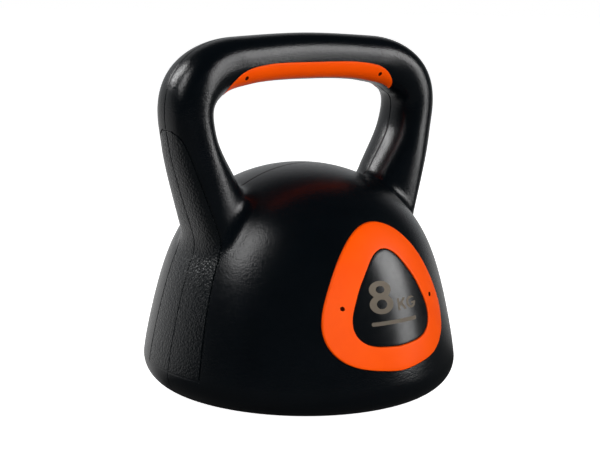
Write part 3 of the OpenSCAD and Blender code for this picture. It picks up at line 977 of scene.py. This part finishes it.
# ---------------------------------------------------------------- floor, light and camera
def white_to_camera(nt, seen, lit):
    """One shader where the camera looks straight at it, another for all the light that reaches the object."""
    path = nt.nodes.new("ShaderNodeLightPath")
    mix = nt.nodes.new("ShaderNodeMixShader")
    nt.links.new(path.outputs["Is Camera Ray"], mix.inputs["Fac"])
    nt.links.new(lit, mix.inputs[1])
    nt.links.new(seen, mix.inputs[2])
    return mix.outputs[0]


def towards_back(nt, coordinate, way):
    """0 for a direction away from way, 1 for one along it."""
    flat, dot = nt.nodes.new("ShaderNodeVectorMath"), nt.nodes.new("ShaderNodeVectorMath")
    flat.operation, dot.operation = "NORMALIZE", "DOT_PRODUCT"
    dot.inputs[1].default_value = way
    nt.links.new(nt.nodes.new("ShaderNodeTexCoord").outputs[coordinate], flat.inputs[0])
    nt.links.new(flat.outputs["Vector"], dot.inputs[0])
    half = nt.nodes.new("ShaderNodeMath")
    half.operation = "MULTIPLY_ADD"
    half.inputs[1].default_value = half.inputs[2].default_value = 0.5
    nt.links.new(dot.outputs["Value"], half.inputs[0])
    return half.outputs[0]


def glowing(nt, colour, strength):
    """Diffuse floor with some light of its own: the shader, and its emission node."""
    mat, glow, both = (nt.nodes.new("ShaderNode" + k) for k in ("BsdfDiffuse", "Emission", "AddShader"))
    mat.inputs["Color"].default_value = (colour, colour, colour, 1)
    glow.inputs["Strength"].default_value = strength
    nt.links.new(mat.outputs[0], both.inputs[0])
    nt.links.new(glow.outputs[0], both.inputs[1])
    return both.outputs[0], glow


# the floor is pale to the eye, dark in front of the object and light behind it
floor_mat = bpy.data.materials.new("studio_floor")
floor_mat.use_nodes = True
nt = floor_mat.node_tree
nt.nodes.clear()
pale, _ = glowing(nt, 0.8, 0.97)
grey, behind = glowing(nt, 0.08, 1.0)
nt.links.new(ramp(nt, towards_back(nt, "Object", (0.21, 0.98, 0)), [(0.5, (0.0,)), (0.7, (0.4,)), (1.0, (0.6,))]),
             behind.inputs["Color"])
out = nt.nodes.new("ShaderNodeOutputMaterial")
nt.links.new(white_to_camera(nt, pale, grey), out.inputs["Surface"])

# a disc of rings of quads, in metres, a hair below the base
RAYS, FLOOR_Z = 48, -0.0004
radii = np.geomspace(0.3, 14, 10)
points = [(r * math.cos(2 * math.pi * j / RAYS), r * math.sin(2 * math.pi * j / RAYS), FLOOR_Z)
          for r in radii for j in range(RAYS)] + [(0, 0, FLOOR_Z)]
tiles = [(i * RAYS + j, (i + 1) * RAYS + j, (i + 1) * RAYS + (j + 1) % RAYS, i * RAYS + (j + 1) % RAYS)
         for i in range(len(radii) - 1) for j in range(RAYS)]
tiles += [(len(points) - 1, j, (j + 1) % RAYS) for j in range(RAYS)]
floor = make("floor", np.array(points) / MM, tiles, [floor_mat])

# the room is dim in front of the object and paler behind it
world = bpy.data.worlds.new("studio")
bpy.context.scene.world = world
world.use_nodes = True
nt = world.node_tree
nt.nodes.clear()
dim, white = nt.nodes.new("ShaderNodeBackground"), nt.nodes.new("ShaderNodeBackground")
white.inputs["Color"].default_value = (1, 1, 1, 1)
nt.links.new(ramp(nt, towards_back(nt, "Generated", (0.19, 0.88, -0.56)),
                  [(0.0, (0.008, 0.009, 0.011)), (0.58, (0.02, 0.022, 0.025)), (0.68, (0.32, 0.33, 0.34)),
                   (0.8, (0.46, 0.47, 0.48)), (1.0, (0.52, 0.53, 0.54))]), dim.inputs["Color"])
out = nt.nodes.new("ShaderNodeOutputWorld")
nt.links.new(white_to_camera(nt, white.outputs[0], dim.outputs[0]), out.inputs["Surface"])


def softbox(name, azimuth, elevation, wide, high, radiance, far=1.6, shine=True):
    """Area light that faces the object. Its width and height are angles seen from the object."""
    a, e = math.radians(azimuth), math.radians(elevation)
    way = Vector((math.sin(a) * math.cos(e), -math.cos(a) * math.cos(e), math.sin(e)))
    d = bpy.data.lights.new(name, "AREA")
    d.shape = "RECTANGLE"
    d.size, d.size_y = (2 * far * math.tan(math.radians(v / 2)) for v in (wide, high))
    d.energy = radiance * math.pi * d.size * d.size_y
    o = bpy.data.objects.new(name, d)
    bpy.context.scene.collection.objects.link(o)
    o.location = Vector((0, 0, 0.12)) + way * far
    o.rotation_mode = "QUATERNION"
    o.rotation_quaternion = (-way).to_track_quat("-Z", "Y")
    o.visible_glossy = shine
    o.visible_camera = False


# camera: angles, the point it looks at and the distance from it, and the lens as a focal length of a 600-wide frame
AZ, EL, ROLL = math.radians(-38.0), math.radians(10.195), math.radians(1.025)
AIM_Z, AIM_RIGHT, DISTANCE, FOCAL, FRAME_W, SENSOR = 0.103244, -0.00074, 0.872582, 1309.238, 600, 36
back = Vector((math.sin(AZ) * math.cos(EL), -math.cos(AZ) * math.cos(EL), math.sin(EL)))
level = Vector((math.cos(AZ), math.sin(AZ), 0))
above = back.cross(level)
right = level * math.cos(ROLL) + above * math.sin(ROLL)
up = above * math.cos(ROLL) - level * math.sin(ROLL)
cam_data = bpy.data.cameras.new("camera")
cam_data.sensor_width = SENSOR
cam_data.lens = SENSOR * FOCAL / FRAME_W
cam_data.clip_start, cam_data.clip_end = 0.05, 50
cam = bpy.data.objects.new("camera", cam_data)
bpy.context.scene.collection.objects.link(cam)
cam.matrix_world = Matrix((right, up, back)).transposed().to_4x4()
cam.location = Vector((0, 0, AIM_Z)) + level * AIM_RIGHT + back * DISTANCE
bpy.context.scene.camera = cam
bpy.context.scene.view_settings.view_transform = "Standard"

# name, azimuth, elevation, width and height in degrees, radiance
softbox("right_box", 45, 21, 20, 22, 6.4)
softbox("right_low", 47, 1, 16, 18, 4.5)
softbox("back_box", -142, 37, 15, 26, 10.0)
softbox("left_box", -97, 40, 16, 30, 5.6)
softbox("fill", -20, 2, 74, 60, 3.5, far=2.2, shine=False)
